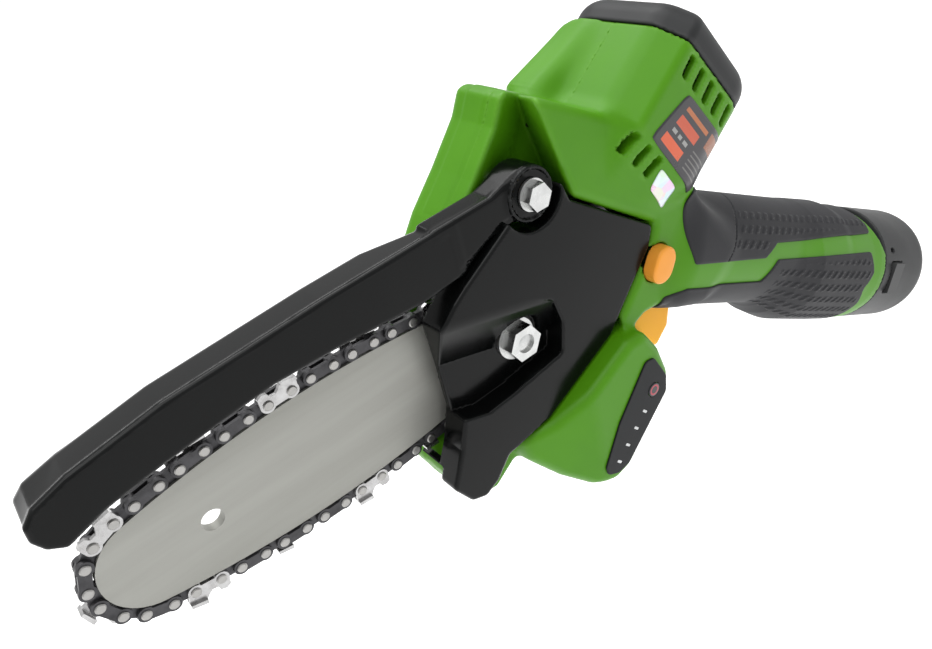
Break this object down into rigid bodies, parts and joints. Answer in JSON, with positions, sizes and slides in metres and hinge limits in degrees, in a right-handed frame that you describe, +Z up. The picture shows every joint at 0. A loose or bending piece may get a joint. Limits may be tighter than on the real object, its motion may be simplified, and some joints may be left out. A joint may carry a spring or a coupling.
{
  "type": "pruning chainsaw",
  "caption": "One-handed cordless pruning chainsaw with a short guide bar, a hinged chain guard, an angled motor barrel and a battery that slides into the handle.",
  "frame": {"origin": "centre of the handle grip, on its axis and in the split plane of the housing", "axes": "+X runs back along the bar from its nose towards the battery, +Z is up with the guide bar level, +Y points away from the side cover"},
  "size_m": [0.3609, 0.0512, 0.1882],
  "materials": {
    "green_plastic": "satin moulded green plastic",
    "black_plastic": "glossy moulded black plastic",
    "dark_cap": "satin dark grey plastic",
    "battery_plastic": "satin dark grey plastic",
    "inner_plastic": "black plastic",
    "black_screws": "black oxide steel",
    "zinc": "bright zinc plated steel",
    "bearing_steel": "bearing steel",
    "steel": "machined steel",
    "gear_steel": "hardened steel",
    "spring_steel": "spring wire",
    "brass": "brass",
    "bar_steel": "satin bar steel",
    "chain_dark": "dark chain steel",
    "chain_bright": "bright rivet steel",
    "cutter_chrome": "hard chromed steel",
    "lamination": "stacked electrical steel",
    "copper": "enamelled copper wire",
    "die_cast": "die cast aluminium",
    "fan_plastic": "black plastic",
    "trigger_orange": "satin orange plastic",
    "lock_orange": "satin orange plastic",
    "grip_rubber": "soft moulded rubber",
    "cell_wrap": "heat shrink wrap",
    "board_green": "circuit board",
    "panel_plastic": "satin dark grey plastic",
    "led_white": "clear lens over white lamps",
    "button_red": "red rubber key",
    "label_dark": "printed label",
    "foil_silver": "silver foil"
  },
  "bodies": {
    "frame": {"housing_near": "green_plastic", "housing_far": "green_plastic", "motor_end_cap": "dark_cap", "end_cap_screws": "black_screws", "housing_screws": "black_screws", "side_cover": "black_plastic", "guard_pivot_bolt": "zinc", "guard_bush": "brass", "guard_spring": "spring_steel", "guide_bar": "bar_steel", "bar_stud": "zinc", "bar_nut": "zinc", "nut_washer": "zinc", "tension_screw": "zinc", "tension_block": "steel", "drive_links": "chain_dark", "tie_straps": "chain_dark", "cutters": "cutter_chrome", "rivets": "chain_bright", "spindle_bearing_inner": "bearing_steel", "spindle_bearing_outer": "bearing_steel", "bearing_plate": "die_cast", "stator_core": "lamination", "stator_windings": "copper", "motor_front_plate": "die_cast", "motor_front_bearing": "bearing_steel", "pinion_bearing": "bearing_steel", "motor_rear_plate": "die_cast", "motor_rear_bearing": "bearing_steel", "trigger_pin": "steel", "trigger_spring": "spring_steel", "switch_body": "inner_plastic", "lock_spring": "spring_steel", "upper_grips": "grip_rubber", "lower_grips": "grip_rubber", "contact_block": "inner_plastic", "contact_blades": "brass", "control_board": "board_green", "indicator_panel": "panel_plastic", "led_windows": "led_white", "rating_label": "label_dark", "foil_sticker": "foil_silver"},
    "rotor": {"rotor_shaft": "steel", "rotor_core": "lamination", "rotor_magnets": "steel", "pinion": "gear_steel", "cooling_fan": "fan_plastic"},
    "drive": {"spindle": "steel", "sprocket": "gear_steel", "sprocket_clip": "gear_steel", "face_gear": "gear_steel"},
    "guard": {"chain_guard": "black_plastic"},
    "trigger_lever": {"trigger": "trigger_orange"},
    "lock_key": {"lock_button": "lock_orange"},
    "power_key": {"power_button": "button_red"},
    "battery": {"battery_case": "inner_plastic", "battery_cap": "battery_plastic", "battery_cells": "cell_wrap"},
    "latch_key_near": {"latch_near": "battery_plastic"},
    "latch_key_far": {"latch_far": "battery_plastic"}
  },
  "joints": [
    {"name": "rotor_spin", "type": "hinge", "parent": "frame", "child": "rotor", "pos_m": [-0.05887, 0, 0.08197], "axis": [0.809, 0, 0.5878], "continuous": true},
    {"name": "drive_spin", "type": "hinge", "parent": "frame", "child": "drive", "pos_m": [-0.10741, 0, 0.0467], "axis": [0, 1, 0], "continuous": true, "deforming": ["drive_links"]},
    {"name": "guard_lift", "type": "hinge", "parent": "frame", "child": "guard", "pos_m": [-0.116, -0.01, 0.0897], "axis": [0, 1, 0], "range_deg": [0, 40], "stiffness_Nm_per_rad": 0.04, "springref_deg": -34.38, "deforming": ["guard_spring"]},
    {"name": "trigger_pull", "type": "hinge", "parent": "frame", "child": "trigger_lever", "pos_m": [-0.0705, 0, 0.0321], "axis": [0, -1, 0], "range_deg": [0, 12], "stiffness_Nm_per_rad": 0.15, "springref_deg": -14.32, "deforming": ["trigger_spring"]},
    {"name": "lock_press", "type": "slide", "parent": "frame", "child": "lock_key", "axis": [0, 1, 0], "range_m": [0, 0.0024], "stiffness_N_per_m": 200, "springref_m": -0.004, "deforming": ["lock_spring"]},
    {"name": "power_press", "type": "slide", "parent": "frame", "child": "power_key", "axis": [0, 1, 0], "range_m": [0, 0.00035], "stiffness_N_per_m": 200, "springref_m": -0.001},
    {"name": "battery_slide", "type": "slide", "parent": "frame", "child": "battery", "axis": [0.8746, 0, -0.4848], "range_m": [0, 0.08]},
    {"name": "latch_near_press", "type": "slide", "parent": "battery", "child": "latch_key_near", "axis": [0, 1, 0], "range_m": [0, 0.0015], "stiffness_N_per_m": 300, "springref_m": -0.003},
    {"name": "latch_far_press", "type": "slide", "parent": "battery", "child": "latch_key_far", "axis": [0, -1, 0], "range_m": [0, 0.0015], "stiffness_N_per_m": 300, "springref_m": -0.003}
  ],
  "couplings": [
    {"joint": "drive_spin", "follows": "rotor_spin", "ratio": -0.22222}
  ]
}
